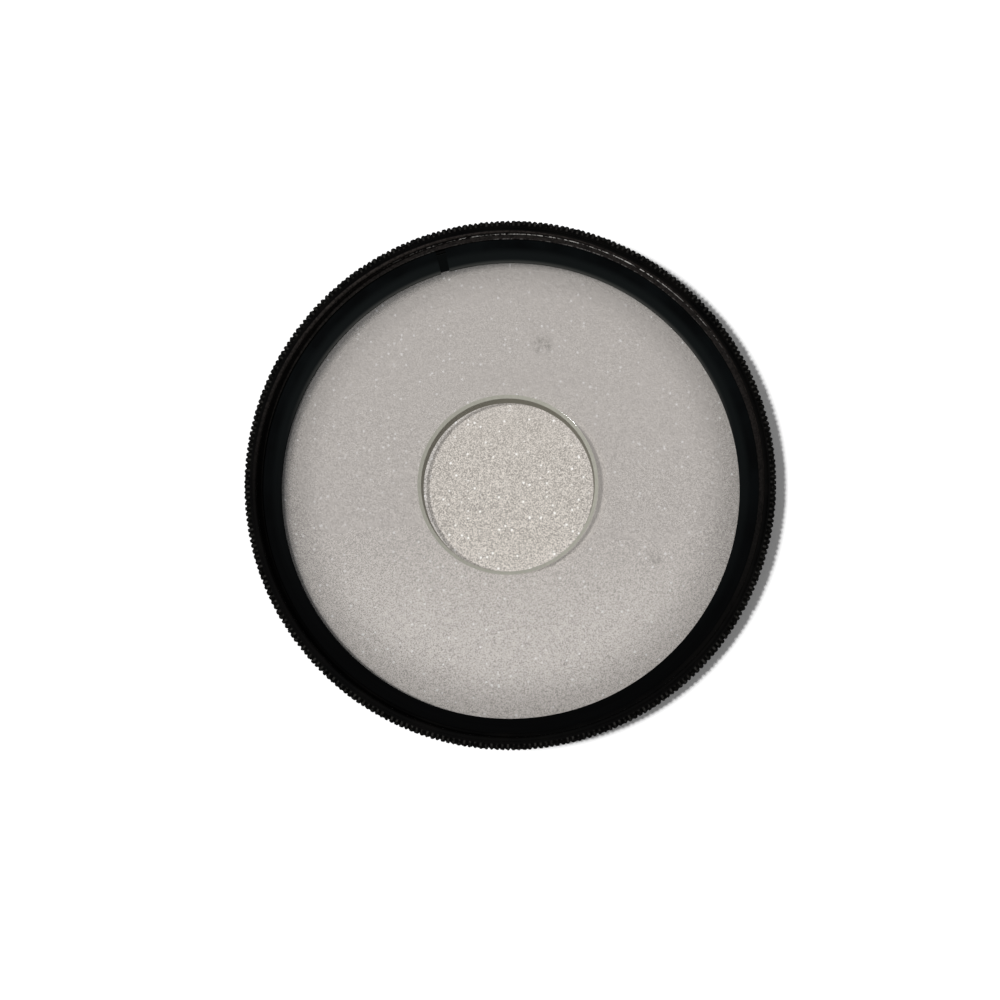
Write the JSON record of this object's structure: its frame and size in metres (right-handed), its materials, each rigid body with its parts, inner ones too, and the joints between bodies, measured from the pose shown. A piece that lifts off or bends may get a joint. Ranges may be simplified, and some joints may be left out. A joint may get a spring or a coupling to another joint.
{
  "type": "screw in lens filter with a clear centre spot",
  "caption": "Screw-in lens filter: a knurled black metal rim with front and rear threads, a split spring ring, and a clear glass disc bored through its middle",
  "frame": {"origin": "on the filter's axis, at the rear end of the rear thread, on which the filter lies", "axes": "+Z is the filter's axis, towards the front thread; +X and +Y lie in the plane of the glass, with the ring's split at 106.5 degrees from +X towards +Y"},
  "size_m": [0.057, 0.057, 0.0075],
  "materials": {
    "black_anodised": "black anodised, satin, with the colour worn off some thread crests",
    "black_ring": "blue-black, smooth satin",
    "clear_glass": "clear, uncoated, polished faces, finely ground edge and bore"
  },
  "bodies": {
    "root": {"filter_rim": "black_anodised", "retaining_ring": "black_ring", "glass_disc": "clear_glass"}
  },
  "joints": []
}
